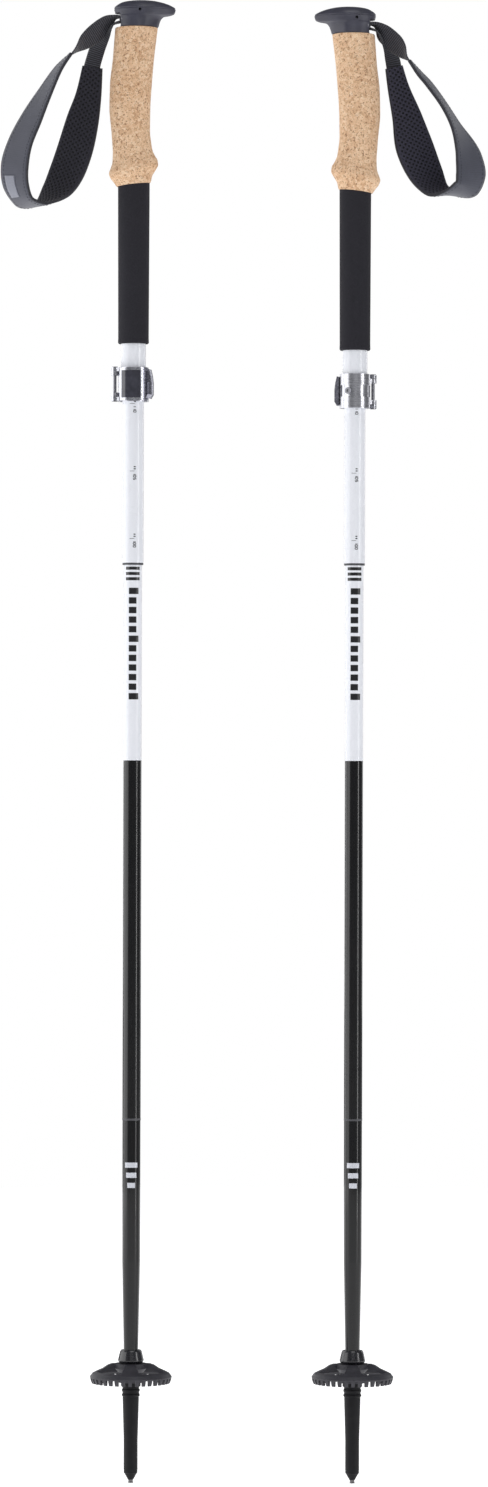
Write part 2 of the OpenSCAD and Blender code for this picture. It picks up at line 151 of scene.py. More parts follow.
def make_world():
    world = bpy.data.worlds.new("world")
    bpy.context.scene.world = world
    world.use_nodes = True
    tree = world.node_tree
    tree.nodes.clear()
    seen = tree.nodes.new("ShaderNodeBackground")
    seen.inputs["Color"].default_value = (1, 1, 1, 1)
    fill = tree.nodes.new("ShaderNodeBackground")
    fill.inputs["Color"].default_value = (0.93, 0.95, 1, 1)
    fill.inputs["Strength"].default_value = WORLD_FILL
    path = tree.nodes.new("ShaderNodeLightPath")
    mix = tree.nodes.new("ShaderNodeMixShader")
    out = tree.nodes.new("ShaderNodeOutputWorld")
    tree.links.new(path.outputs["Is Camera Ray"], mix.inputs[0])
    tree.links.new(fill.outputs[0], mix.inputs[1])
    tree.links.new(seen.outputs[0], mix.inputs[2])
    tree.links.new(mix.outputs[0], out.inputs["Surface"])


make_camera()
make_floor()
make_world()
for name, values in LIGHTS.items():
    make_light(name, *values)
bpy.context.scene.view_settings.view_transform = "Standard"


# --- materials --------------------------------------------------------------------

def linear(r, g, b):
    """A display colour, 0 to 255, as the linear colour that a shader takes."""
    def one(c):
        c = c / 255
        return c / 12.92 if c < 0.04045 else ((c + 0.055) / 1.055) ** 2.4
    return (one(r), one(g), one(b), 1)


class Look:
    """A material, with short ways to add its nodes."""

    def __init__(self, name, colour, roughness, **inputs):
        self.material = bpy.data.materials.new(name)
        self.material.use_nodes = True
        self.tree = self.material.node_tree
        self.shader = self.tree.nodes["Principled BSDF"]
        self.shader.inputs["Base Color"].default_value = colour
        self.shader.inputs["Roughness"].default_value = roughness
        for key, value in inputs.items():
            self.shader.inputs[key.replace("_", " ")].default_value = value
        self.coords = self.node("ShaderNodeTexCoord").outputs["Object"]

    def node(self, kind, inputs=None, **settings):
        made = self.tree.nodes.new(kind)
        for key, value in settings.items():
            setattr(made, key, value)
        for key, value in (inputs or {}).items():
            if isinstance(value, bpy.types.NodeSocket):
                self.tree.links.new(value, made.inputs[key])
            else:
                made.inputs[key].default_value = value
        return made

    def noise(self, scale, detail=2.0, rough=0.5, vector=None):
        return self.node("ShaderNodeTexNoise", {
            "Vector": vector or self.coords, "Scale": scale, "Detail": detail, "Roughness": rough,
        }).outputs["Fac"]

    def cells(self, scale, feature="F1", output="Distance", vector=None):
        return self.node("ShaderNodeTexVoronoi", {
            "Vector": vector or self.coords, "Scale": scale,
        }, feature=feature).outputs[output]

    def stretched(self, x, y, z):
        return self.node("ShaderNodeMapping", {"Vector": self.coords, "Scale": (x, y, z)}).outputs[0]

    def ramp(self, factor, *stops):
        """Colours or greys at places from 0 to 1."""
        made = self.node("ShaderNodeValToRGB", {"Fac": factor})
        band = made.color_ramp
        while len(band.elements) < len(stops):
            band.elements.new(1.0)
        for element, (place, value) in zip(band.elements, stops):
            element.position = place
            element.color = value if isinstance(value, tuple) else (value, value, value, 1)
        return made.outputs["Color"]

    def mix(self, factor, a, b, blend="MIX"):
        made = self.node("ShaderNodeMix", data_type="RGBA", blend_type=blend)
        for place, value in ((0, factor), (6, a), (7, b)):
            if isinstance(value, bpy.types.NodeSocket):
                self.tree.links.new(value, made.inputs[place])
            else:
                made.inputs[place].default_value = value
        return made.outputs[2]

    def maths(self, operation, a, b=0.0):
        made = self.node("ShaderNodeMath", operation=operation)
        for place, value in ((0, a), (1, b)):
            if isinstance(value, bpy.types.NodeSocket):
                self.tree.links.new(value, made.inputs[place])
            else:
                made.inputs[place].default_value = value
        return made.outputs[0]

    def colour(self, socket):
        self.tree.links.new(socket, self.shader.inputs["Base Color"])

    def roughness(self, socket, low, high):
        spread = self.node("ShaderNodeMapRange", {"Value": socket, "To Min": low, "To Max": high})
        self.tree.links.new(spread.outputs[0], self.shader.inputs["Roughness"])

    def bump(self, height, distance, strength=1.0):
        """Adds a relief of that many millimetres, on top of any relief before it."""
        made = self.node("ShaderNodeBump", {
            "Height": height, "Distance": distance * MM, "Strength": strength,
        })
        before = self.shader.inputs["Normal"].links
        if before:
            self.tree.links.new(before[0].from_socket, made.inputs["Normal"])
        self.tree.links.new(made.outputs[0], self.shader.inputs["Normal"])


def head_plastic():
    look = Look("head_plastic", linear(58, 58, 70), 0.42)
    wear = look.noise(120, 4, 0.6)
    look.colour(look.ramp(wear, (0.3, linear(53, 53, 65)), (0.75, linear(66, 66, 79))))
    look.roughness(look.noise(900, 3), 0.36, 0.5)
    look.bump(look.noise(2600, 2), 0.03)
    return look.material


def cork():
    look = Look("cork", linear(222, 185, 140), 0.78, Specular_IOR_Level=0.3)
    warp = look.node("ShaderNodeVectorMath", {
        0: look.coords,
        1: look.node("ShaderNodeVectorMath", {
            0: look.node("ShaderNodeTexNoise", {"Vector": look.coords, "Scale": 700}).outputs["Color"],
            1: (0.0012, 0.0012, 0.0012),
        }, operation="MULTIPLY").outputs[0],
    }, operation="ADD").outputs[0]
    grain = look.cells(430, output="Color", vector=warp)
    fine = look.cells(1150, output="Color", vector=warp)
    tone = look.ramp(
        look.mix(0.42, grain, fine),
        (0.14, linear(184, 136, 98)), (0.36, linear(220, 179, 141)),
        (0.62, linear(236, 203, 167)), (0.88, linear(248, 224, 195)),
    )
    broad = look.ramp(look.noise(45, 3), (0.3, linear(206, 164, 128)), (0.7, linear(238, 206, 174)))
    tone = look.mix(0.3, tone, broad)
    flecks = look.ramp(look.noise(620, 3, 0.62), (0.57, 0.0), (0.64, 1.0))
    tone = look.mix(look.maths("MULTIPLY", flecks, 0.85), tone, linear(148, 100, 68))
    pits = look.ramp(look.noise(1500, 2, 0.5), (0.62, 0.0), (0.68, 1.0))
    tone = look.mix(look.maths("MULTIPLY", pits, 0.7), tone, linear(104, 66, 44))
    look.colour(tone)
    look.bump(look.cells(430, "DISTANCE_TO_EDGE", vector=warp), 0.25, 0.5)
    look.bump(look.maths("SUBTRACT", 1.0, flecks), 0.16, 0.7)
    look.bump(look.noise(2600, 2), 0.05)
    return look.material


def foam():
    look = Look("foam", linear(40, 39, 45), 0.88, Specular_IOR_Level=0.35)
    look.colour(look.ramp(look.noise(1800, 4, 0.6), (0.3, linear(25, 24, 30)), (0.7, linear(42, 41, 48))))
    look.bump(look.cells(2400), 0.09)
    look.bump(look.noise(500, 3), 0.08)
    return look.material


def white_paint(name="white_paint", paint_edge=None):
    """Gloss white paint over a tube. Where paint_edge is given, it is black below that height."""
    white = linear(234, 236, 242)
    black = linear(10, 10, 12)
    look = Look(name, white, 0.3, Specular_IOR_Level=0.3, Coat_Weight=0.5, Coat_Roughness=0.04)
    speck = look.noise(3200, 2)
    tone = look.ramp(speck, (0.3, linear(230, 232, 239)), (0.7, linear(238, 240, 245)))
    if paint_edge is not None:
        height = look.node("ShaderNodeSeparateXYZ", {0: look.coords}).outputs["Z"]
        above = look.maths("GREATER_THAN", height, paint_edge)
        dark = look.ramp(speck, (0.3, linear(6, 6, 8)), (0.7, black))
        tone = look.mix(above, dark, tone)
    look.colour(tone)
    look.roughness(look.noise(60, 3), 0.22, 0.32)
    look.bump(look.noise(900, 2), 0.012)
    return look.material


def black_paint():
    look = Look(
        "black_paint", linear(8, 8, 10), 0.3, Specular_IOR_Level=0.2, Coat_Weight=0.45, Coat_Roughness=0.04,
    )
    look.colour(look.ramp(look.noise(2600, 2), (0.3, linear(6, 6, 8)), (0.7, linear(12, 12, 14))))
    look.roughness(look.noise(70, 3), 0.18, 0.3)
    look.bump(look.noise(900, 2), 0.012)
    return look.material


def metal(name, colour, low, high, along=(60, 60, 2400)):
    """Brushed metal, its scratches short along the axis that the largest scale names."""
    look = Look(name, colour, low, Metallic=1.0)
    brushed = look.noise(1, 5, 0.7, vector=look.stretched(*along))
    dull = tuple(c * 0.86 for c in colour[:3]) + (1,)
    look.colour(look.mix(look.ramp(brushed, (0.35, 0.0), (0.7, 1.0)), dull, colour))
    look.roughness(brushed, low, high)
    look.bump(brushed, 0.02)
    return look.material


def moulded(name, colour, roughness, grain=1900, relief=0.035, coat=0.0, shine=0.5):
    """Moulded plastic with a fine spark grain."""
    look = Look(name, colour, roughness, Coat_Weight=coat, Coat_Roughness=0.1, Specular_IOR_Level=shine)
    lighter = tuple(min(1, c * 1.35 + 0.002) for c in colour[:3]) + (1,)
    look.colour(look.mix(look.ramp(look.noise(260, 4, 0.6), (0.35, 0.0), (0.75, 1.0)), colour, lighter))
    look.roughness(look.noise(700, 3), roughness * 0.88, min(1, roughness * 1.15))
    look.bump(look.noise(grain, 2), relief)
    return look.material


def smoked_plastic():
    look = Look("smoked_plastic", linear(52, 52, 60), 0.16, Coat_Weight=0.8, Coat_Roughness=0.04)
    look.colour(look.ramp(look.noise(150, 3), (0.3, linear(44, 44, 52)), (0.72, linear(66, 66, 76))))
    look.roughness(look.noise(500, 3), 0.12, 0.22)
    look.bump(look.noise(1400, 2), 0.01)
    return look.material


LEVER_EDGE = 7.2    # from the pole's axis to where the lever's dark finger end starts, millimetres


def lever_metal(side):
    """Bright frame with a dark finger end."""
    look = Look(f"{side}_lever_metal", linear(196, 197, 203), 0.24, Metallic=1.0)
    x = look.node("ShaderNodeSeparateXYZ", {0: look.coords}).outputs["X"]
    away = look.maths("SUBTRACT", x, AXIS_X[side])
    if side == "right":
        away = look.maths("MULTIPLY", away, -1.0)
    dark = look.maths("GREATER_THAN", away, LEVER_EDGE * MM)
    grain = look.noise(700, 4)
    bright = look.ramp(grain, (0.3, linear(186, 187, 194)), (0.7, linear(212, 213, 219)))
    smoked = look.ramp(grain, (0.3, linear(142, 142, 154)), (0.7, linear(172, 172, 184)))
    look.colour(look.mix(dark, bright, smoked))
    look.roughness(grain, 0.2, 0.32)
    look.bump(look.noise(1800, 2), 0.015)
    return look.material


def cord_cloth():
    look = Look("cord_cloth", linear(150, 52, 44), 0.8)
    braid = look.node("ShaderNodeTexWave", {
        "Vector": look.coords, "Scale": 520.0, "Distortion": 3.0,
    }, bands_direction="Z").outputs["Fac"]
    look.colour(look.ramp(braid, (0.2, linear(112, 34, 30)), (0.8, linear(172, 66, 54))))
    look.bump(braid, 0.1)
    return look.material


def webbing_cloth():
    look = Look("webbing_cloth", linear(46, 46, 54), 0.82, Sheen_Weight=0.25)
    threads = look.noise(3600, 3, 0.6)
    shade_crest = look.node("ShaderNodeAttribute", attribute_name="shade_crest").outputs["Fac"]
    # Painted shade: the grooves between the ribs, where the relief is low, are coloured near black, and the
    # ridges keep the cloth's grey.
    groove_painted_shade = look.ramp(threads, (0.25, linear(12, 12, 15)), (0.75, linear(22, 22, 27)))
    ridge = look.ramp(threads, (0.25, linear(52, 52, 61)), (0.75, linear(82, 82, 93)))
    look.colour(look.mix(look.ramp(shade_crest, (0.3, 0.0), (0.85, 1.0)), groove_painted_shade, ridge))
    look.bump(threads, 0.12)
    return look.material


def band_cloth():
    look = Look("band_cloth", linear(74, 76, 92), 0.74, Sheen_Weight=0.3)
    weave = look.noise(2800, 3, 0.6)
    broad = look.noise(90, 3)
    tone = look.ramp(weave, (0.25, linear(52, 54, 66)), (0.75, linear(68, 70, 84)))
    tone = look.mix(0.35, tone, look.ramp(broad, (0.3, linear(50, 52, 64)), (0.7, linear(70, 72, 87))))
    # Painted shade: where the face ribs' relief is low, in their grooves, the cloth is mixed towards a
    # darker blue grey.
    shade_crest = look.node("ShaderNodeAttribute", attribute_name="shade_crest").outputs["Fac"]
    look.colour(look.mix(look.ramp(shade_crest, (0.1, 0.3), (0.7, 0.0)), tone, linear(38, 39, 49)))
    look.bump(weave, 0.07)
    return look.material


def mesh_cloth(name, raised_tones_as_lit):
    look = Look(name, linear(40, 39, 52), 0.9, Sheen_Weight=0.15)
    knit = look.cells(2600)
    shade_crest = look.node("ShaderNodeAttribute", attribute_name="shade_crest").outputs["Fac"]
    raised = look.ramp(knit, (0.1, raised_tones_as_lit[0]), (0.7, raised_tones_as_lit[1]))
    # Painted shade: the dimples, where the relief is low, are coloured near black.
    sunk_and_shaded = look.ramp(knit, (0.1, linear(14, 13, 20)), (0.7, linear(6, 6, 10)))
    look.colour(look.mix(look.ramp(shade_crest, (0.25, 0.0), (0.75, 1.0)), sunk_and_shaded, raised))
    look.bump(look.maths("SUBTRACT", 1.0, knit), 0.1)
    return look.material


def patch_cloth():
    look = Look("patch_cloth", linear(128, 130, 142), 0.7, Sheen_Weight=0.2)
    weave = look.noise(3200, 3, 0.6)
    look.colour(look.ramp(weave, (0.25, linear(106, 108, 120)), (0.75, linear(140, 142, 153))))
    look.bump(weave, 0.07)
    return look.material


def binding_cloth():
    look = Look("binding_cloth", linear(52, 53, 64), 0.8, Sheen_Weight=0.25)
    threads = look.noise(3000, 3)
    look.colour(look.ramp(threads, (0.3, linear(27, 27, 34)), (0.7, linear(42, 42, 52))))
    look.bump(threads, 0.08)
    return look.material


def ink(name, colour, roughness=0.3):
    """Printed marks: paint with a faint unevenness."""
    look = Look(name, colour, roughness, Coat_Weight=0.5, Coat_Roughness=0.08)
    other = tuple(min(1, c * 1.12 + 0.004) for c in colour[:3]) + (1,)
    look.colour(look.mix(look.noise(1500, 3), colour, other))
    look.bump(look.noise(2400, 2), 0.01)
    return look.material


PAINT_EDGE = 0.536    # height of the line between white and black paint, metres
LOOKS = {
    "head": head_plastic(),
    "cork": cork(),
    "foam": foam(),
    "white": white_paint(),
    "section": white_paint("section_paint", PAINT_EDGE),
    "black": black_paint(),
    "clamp": metal("clamp_metal", linear(214, 214, 220), 0.2, 0.36),
    "steel": metal("steel_pin", linear(150, 150, 156), 0.24, 0.42),
    "button": metal("button_metal", linear(196, 197, 202), 0.2, 0.34),
    "smoked": smoked_plastic(),
    "left_lever": lever_metal("left"),
    "right_lever": lever_metal("right"),
    "insert": moulded("joint_insert", linear(66, 66, 70), 0.5),
    "cord": cord_cloth(),
    "collar": moulded("collar_plastic", linear(24, 24, 29), 0.26, coat=0.4),
    "basket": moulded("basket_plastic", linear(40, 39, 46), 0.52),
    "tip": moulded("tip_plastic", linear(14, 14, 17), 0.5, shine=0.2),
    "carbide": metal("carbide", linear(120, 118, 120), 0.34, 0.55),
    "webbing": webbing_cloth(),
    "band": band_cloth(),
    # Painted shade: both straps carry one mesh cloth, but the left one's raised tones are painted darker as
    # shade and the right one's lighter.
    "left_mesh": mesh_cloth("left_mesh", (linear(50, 49, 62), linear(31, 30, 40))),
    "right_mesh": mesh_cloth("right_mesh", (linear(74, 72, 90), linear(48, 47, 61))),
    "binding": binding_cloth(),
    "patch": patch_cloth(),
    "thread": ink("thread", linear(34, 34, 42), 0.8),
    "black_ink": ink("black_ink", linear(18, 18, 20)),
    "grey_ink": ink("grey_ink", linear(196, 198, 206)),
}

NODE_LOOKS = {
    "strap_pin": "steel", "foam_sleeve": "foam", "upper_tube": "white",
    "clamp_band": "clamp", "clamp_pin": "steel", "clamp_screw": "steel", "lever_cover": "smoked",
    "adjusting_shaft": "white", "shaft_socket": "insert", "shaft_cord": "cord",
    "mid_tube": "section", "mid_cone": "insert", "mid_socket": "insert", "mid_cord": "cord",
    "button_spring": "steel", "release_button": "button",
    "lower_tube": "black", "lower_cone": "insert", "lower_cord": "cord",
    "tip_collar": "collar", "basket": "basket", "tip_body": "tip", "carbide_tip": "carbide",
    "head_cap": "head", "cork_grip": "cork", "strap_webbing": "webbing", "strap_band": "band",
}


def dress(piece, look):
    piece.data.materials.clear()
    piece.data.materials.append(LOOKS[look])


for side in SIDES:
    for part, look in NODE_LOOKS.items():
        dress(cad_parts[f"{side}_{part}"], look)
    dress(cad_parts[f"{side}_clamp_lever"], f"{side}_lever")


# --- mesh building ------------------------------------------------------------------
# Pieces are drawn for the left pole in millimetres: x from the pole's axis, height
# measured up from the head's top. The right pole's are turned or mirrored.

def placed(side, points, how):
    """Points of the left pole's upper end, in millimetres, as points of that side in the frame."""
    moved = np.array(points, float) * MM
    if side == "right" and how == "turned":
        moved[:, :2] *= -1
    if side == "right" and how == "mirrored":
        moved[:, 0] *= -1
    return moved + np.array([AXIS_X[side], 0, TOP_Z[side]])


def build(name, points, faces, look, body, flip=False, smooth=True, shade_crest=None):
    """Makes a piece. The optional relief values, 0 to 1 for each point, go to the cloth materials, which
    paint shade where the relief is low, in grooves and dimples.
    """
    mesh = bpy.data.meshes.new(name)
    if flip:
        faces = [tuple(reversed(f)) for f in faces]
    mesh.from_pydata([tuple(p) for p in points], [], faces)
    if shade_crest is not None:
        mesh.attributes.new("shade_crest", "FLOAT", "POINT").data.foreach_set("value", shade_crest)
    mesh.validate()
    if smooth:
        mesh.shade_smooth()
    piece = bpy.data.objects.new(name, mesh)
    bpy.context.scene.collection.objects.link(piece)
    dress(piece, look)
    if body:
        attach(piece, body)
    return piece


def loft_faces(rings, sides, start=0, capped=True):
    """Faces of a skin over rings of points, each with the same number of them."""
    faces = []
    for k in range(rings - 1):
        for i in range(sides):
            a, b = start + k * sides + i, start + k * sides + (i + 1) % sides
            faces.append((a, b, b + sides, a + sides))
    if capped:
        last = start + (rings - 1) * sides
        faces.append(tuple(range(start + sides - 1, start - 1, -1)))
        faces.append(tuple(range(last, last + sides)))
    return faces


def gentle_curve(rows, steps):
    """A curve through rows of numbers that never overshoots them, eased by the distance between rows."""
    rows = np.array(rows, float)
    gap = np.linalg.norm(np.diff(rows[:, :4], axis=0), axis=1)
    slope = np.diff(rows, axis=0) / gap[:, None]
    tangent = np.zeros_like(rows)
    tangent[0], tangent[-1] = slope[0], slope[-1]
    for i in range(1, len(rows) - 1):
        same = slope[i - 1] * slope[i] > 0
        a = 2 * gap[i] + gap[i - 1]
        b = gap[i] + 2 * gap[i - 1]
        safe = np.where(same, slope[i - 1], 1), np.where(same, slope[i], 1)
        tangent[i] = np.where(same, (a + b) / (a / safe[0] + b / safe[1]), 0)
    out = []
    for i, h in enumerate(gap):
        for t in np.arange(steps) / steps:
            out.append(
                (1 + 2 * t) * (1 - t) ** 2 * rows[i] + t * (1 - t) ** 2 * h * tangent[i]
                + t * t * (3 - 2 * t) * rows[i + 1] + t * t * (t - 1) * h * tangent[i + 1]
            )
    out.append(rows[-1])
    return np.array(out)


# --- head and cork --------------------------------------------------------------------

# Plan rings: height under the top, strap-side edge, beak-side edge, half depth, slope
CORK = [
    (137, -12.6, 12.0, 12.2, 0.115),
    (136.4, -13.1, 12.5, 12.6, 0.115),
    (132.5, -15.2, 13.6, 14.2, 0.16),
    (128.5, -17.6, 16.4, 16.2, 0.18),
    (125.2, -18.5, 18, 17, 0.18),
    (122, -17.4, 17.6, 16.5, 0.18),
    (118, -16, 15.8, 15.3, 0.15),
    (112, -15.7, 13.7, 14.6, 0.08),
    (106, -16.1, 12.8, 14.4, 0.03),
    (97, -16.8, 11.9, 14.4, 0),
    (80, -18.3, 12.1, 14.9, 0),
    (62, -17.9, 13.2, 15, 0),
    (44, -15.9, 14.7, 15, 0),
    (26, -14.5, 16.8, 15, 0),
    (20.9, -14, 17.4, 15, 0),
    (20.5, -13.5, 16.9, 14.5, 0),
]
HEAD = [
    (20.3, -12.4, 17.5, 13.8, 0),
    (19.9, -12.8, 17.9, 14.2, 0),
    (16.5, -13.1, 19, 13.8, 0),
    (14.3, -13.5, 20, 13.6, 0),
    (12.3, -13.9, 22.2, 13.7, 0),
    (11.3, -14.1, 27.6, 13.9, 0),
    (10.4, -14.2, 29.6, 14.1, 0),
    (8.4, -14.6, 30.5, 14.5, 0),
    (7.2, -14.9, 30.7, 14.8, 0),
    (6.7, -14.6, 30.4, 14.5, 0),
    (6.2, -14.9, 30.4, 14.8, 0),
    (5, -14.3, 28.9, 14.2, 0),
    (3.4, -12.3, 25.7, 12.7, 0),
    (1.6, -8.9, 20, 9.8, 0),
    (0.6, -4.2, 15, 6.2, 0),
    (0.15, -0.5, 11, 3.2, 0),
]
GRIP_SIDES = 96
HEAD_STEPS, CORK_STEPS = 5, 6
HEAD_SHARP, CORK_SHARP = 38, 50
BEAK_NARROWING = 0.45
BEAK_FROM, BEAK_LENGTH = 8, 24


def plan_rings(rows, steps, beak):
    """Rings round the grip. beak is how much of the depth is lost at the beak's end."""
    turns = -2 * np.pi * np.arange(GRIP_SIDES) / GRIP_SIDES
    points = []
    for depth, strap_edge, beak_edge, half, slope in gentle_curve(rows, steps):
        x = (strap_edge + beak_edge) / 2 + (beak_edge - strap_edge) / 2 * np.cos(turns)
        narrow = 1 - beak * np.maximum(0, x - BEAK_FROM) / BEAK_LENGTH
        y = half * np.sin(turns) * narrow
        points.append(np.stack([x, y, slope * x - depth], axis=1))
    return np.concatenate(points), len(points)


def cut(piece, cutter):
    """Takes a cutter's shape out of a piece, and the cutter out of the scene."""
    tool = piece.modifiers.new("cut", "BOOLEAN")
    tool.operation = "DIFFERENCE"
    tool.solver = "EXACT"
    tool.object = cutter
    bpy.context.view_layer.update()
    solved = piece.evaluated_get(bpy.context.evaluated_depsgraph_get())
    cut_mesh = bpy.data.meshes.new_from_object(solved)
    piece.modifiers.clear()
    piece.data = cut_mesh
    bpy.data.objects.remove(cutter)


def box_cutter(low, high, side, bevel):
    """A block between two corners, in the left pole's millimetres, with rounded edges."""
    form = bmesh.new()
    bmesh.ops.create_cube(form, size=1)
    for v in form.verts:
        v.co = Vector([l + (h - l) * (c + 0.5) for l, h, c in zip(low, high, v.co)])
    bmesh.ops.bevel(form, geom=form.edges[:], offset=bevel, segments=4, affect="EDGES", profile=0.5)
    mesh = bpy.data.meshes.new("cutter")
    form.to_mesh(mesh)
    form.free()
    spots = placed(side, [v.co for v in mesh.vertices], "turned")
    for v, spot in zip(mesh.vertices, spots):
        v.co = spot
    block = bpy.data.objects.new("cutter", mesh)
    bpy.context.scene.collection.objects.link(block)
    return block


def rod_cutter(centre, radius, ends, side, sides=32):
    """A rod along Y between two ends, in the left pole's millimetres."""
    turns = -2 * np.pi * np.arange(sides) / sides
    ring = np.stack([
        centre[0] + radius * np.cos(turns), 0 * turns, centre[2] + radius * np.sin(turns),
    ], axis=1)
    points = np.concatenate([ring + [0, ends[0], 0], ring + [0, ends[1], 0]])
    mesh = bpy.data.meshes.new("cutter")
    mesh.from_pydata([tuple(p) for p in placed(side, points, "turned")], [], loft_faces(2, sides))
    rod = bpy.data.objects.new("cutter", mesh)
    bpy.context.scene.collection.objects.link(rod)
    return rod


# Cuts in the head, in the left pole's millimetres: two corners and the edge's rounding for the
# mouth and its pocket, a centre and two ends along Y for each vent
MOUTH = ((-30, -20, -22.4), (-10, 20, -9.8), 1.2)
POCKET = ((-14, -8.4, -20.1), (-3.4, 8.4, -10.6), 1.0)
PIN = (-8, 0, -14.4)
PIN_R = 1.5
PIN_HALF = 9.4
VENTS = (((4.5, 0, -8.1), (-20, -10)), ((-0.6, 0, -9), (10, 20)))
VENT_R = 1.1


def make_head(side):
    points, rings = plan_rings(HEAD, HEAD_STEPS, BEAK_NARROWING)
    head = build(f"{side}_head", placed(side, points, "turned"), loft_faces(rings, GRIP_SIDES), "head", None)
    for low, high, bevel in (MOUTH, POCKET):
        cut(head, box_cutter(low, high, side, bevel))
    cut(head, rod_cutter(PIN, PIN_R, (-PIN_HALF, PIN_HALF), side))
    for centre, ends in VENTS:
        cut(head, rod_cutter(centre, VENT_R, ends, side))
    head.data.set_sharp_from_angle(angle=math.radians(HEAD_SHARP))
    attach(head, f"{side}_upper")
    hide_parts(f"{side}_head_cap")


def make_cork(side):
    points, rings = plan_rings(CORK, CORK_STEPS, 0)
    grip = build(
        f"{side}_cork", placed(side, points, "turned"), loft_faces(rings, GRIP_SIDES),
        "cork", f"{side}_upper",
    )
    grip.data.set_sharp_from_angle(angle=math.radians(CORK_SHARP))
    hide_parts(f"{side}_cork_grip")


for side in SIDES:
    make_head(side)
    make_cork(side)


# --- wrist strap ------------------------------------------------------------------------

# Stations along a strap: x, y, depth under the top, width, and the turn of the width
# about the run, 0 in the plane of the loop and -90 straight across it
STRAPS = {
    "left": {
        "out": [
            (-10, 0, 12.4, 13, -90),
            (-14, -0.5, 12.9, 13.5, -98),
            (-20, -1.5, 17.3, 14.5, -135),
            (-28, -3.5, 24.3, 15, -150),
            (-36, -5.5, 31, 15, -132),
            (-43, -7, 37.5, 15, -96),
            (-49, -8.3, 43.5, 15, -78),
        ],
        "band": [
            (-47.5, -8, 41.5, 16, -84),
            (-56, -10, 52, 18, -70),
            (-66, -11, 70, 24, -62),
            (-75.5, -11, 88.5, 27, -53),
            (-84, -11, 107, 29, -50),
            (-88, -10.5, 124, 29, -45),
            (-87, -8.5, 139, 29, -52),
            (-80.5, -4, 150.3, 29, -72),
            (-69, 2, 151.3, 29, -100),
            (-58, 6.5, 141, 29, -135),
            (-50.5, 8.5, 128, 29.5, -152),
            (-44, 9, 110, 29.5, -155),
            (-38.3, 9, 88, 25.5, -162),
            (-34, 7.5, 70, 20, -165),
            (-31, 5, 49, 16, -160),
        ],
        "back": [
            (-31.8, 5, 50.5, 13, -160),
            (-29.8, 4.6, 43, 13, -158),
            (-26.5, 3.4, 33.5, 13.5, -150),
            (-21.4, 1.8, 25, 13.5, -130),
            (-15.6, 0.6, 18, 13, -96),
            (-10, 0, 15.9, 12.6, -90),
        ],
    },
    "right": {
        "out": [
            (-10, 0, 12.4, 13, -90),
            (-15, -1, 14, 13.5, -105),
            (-21.5, -2.5, 20.5, 14.5, -150),
            (-28.5, -4, 27, 15, -150),
            (-34, -5.5, 33, 15, -125),
            (-38.5, -7, 39, 15, -88),
            (-42, -8, 43.5, 15, -80),
        ],
        "band": [
            (-40.5, -7.5, 41.5, 16, -84),
            (-47.3, -9, 50.3, 18, -76),
            (-54.7, -10.5, 59, 20, -74),
            (-65.4, -11.5, 74, 24, -76),
            (-74, -11.5, 89, 27, -72),
            (-80.5, -11, 102.7, 29, -58),
            (-84, -10, 114, 29, -46),
            (-85.3, -9, 125.5, 29, -42),
            (-82, -6.5, 134.8, 29, -58),
            (-70.5, -1, 138.6, 29, -90),
            (-60, 5, 135, 29, -125),
            (-52, 8.5, 122, 29.5, -152),
            (-44, 9, 102.7, 30, -160),
            (-38.4, 8.5, 81, 23, -166),
            (-32.2, 7, 60.5, 17, -165),
            (-28.5, 5, 44, 14, -160),
        ],
        "back": [
            (-28.7, 5, 45.5, 12, -160),
            (-27.5, 4.5, 39, 12, -158),
            (-24.6, 3.5, 31, 12.5, -132),
            (-20.3, 1.8, 23.4, 13, -112),
            (-15.6, 0.6, 18, 13, -96),
            (-10, 0, 15.9, 12.6, -90),
        ],
    },
}
BAND_T = 2.8
WEBBING_T = 1.5
BAND_STEP = 0.5
CURVE_STEPS = 40


def run_of(stations, step):
    """Places, directions across, directions outward, widths and distances along a strap,
    about step millimetres apart."""
    rows = np.array(stations, float)
    dense = []
    for i in range(len(rows) - 1):
        a, b, c, d = (rows[min(max(k, 0), len(rows) - 1)] for k in (i - 1, i, i + 1, i + 2))
        for t in np.arange(CURVE_STEPS) / CURVE_STEPS:
            dense.append(0.5 * (
                2 * b + (c - a) * t + (2 * a - 5 * b + 4 * c - d) * t * t
                + (3 * b - a - 3 * c + d) * t ** 3
            ))
    dense.append(rows[-1])
    dense = np.array(dense)
    spots = dense[:, :3] * [1, 1, -1]
    length = np.concatenate([[0], np.cumsum(np.linalg.norm(np.diff(spots, axis=0), axis=1))])
    count = max(3, int(round(length[-1] / step)) + 1)
    at = np.linspace(0, length[-1], count)
    spots = np.stack([np.interp(at, length, spots[:, k]) for k in range(3)], axis=1)
    width = np.interp(at, length, dense[:, 3])
    turn = np.radians(np.interp(at, length, dense[:, 4]))
    along = np.gradient(spots, axis=0)
    along /= np.linalg.norm(along, axis=1)[:, None]
    flat = along * [1, 0, 1]
    flat /= np.linalg.norm(flat, axis=1)[:, None]
    inward = np.stack([-flat[:, 2], 0 * at, flat[:, 0]], axis=1)
    across = np.cos(turn)[:, None] * inward + np.sin(turn)[:, None] * np.array([0, 1, 0])
    across -= (across * along).sum(1)[:, None] * along
    across /= np.linalg.norm(across, axis=1)[:, None]
    return spots, across, np.cross(along, across), width, at


def swept(run, outline):
    """A skin over a strap's run. outline gives, at one station, the section's points as shares of
    half the width, millimetres outward and, for some pieces, the relief from 0 to 1."""
    spots, across, outward, width, at = run
    points, crests = [], []
    for k in range(len(at)):
        section = outline(k)
        points.append(
            spots[k] + section[:, :1] * width[k] / 2 * across[k] + section[:, 1:2] * outward[k]
        )
        crests.append(section[:, 2] if section.shape[1] > 2 else np.ones(len(section)))
    return np.concatenate(points), loft_faces(len(at), len(points[0])), np.concatenate(crests)


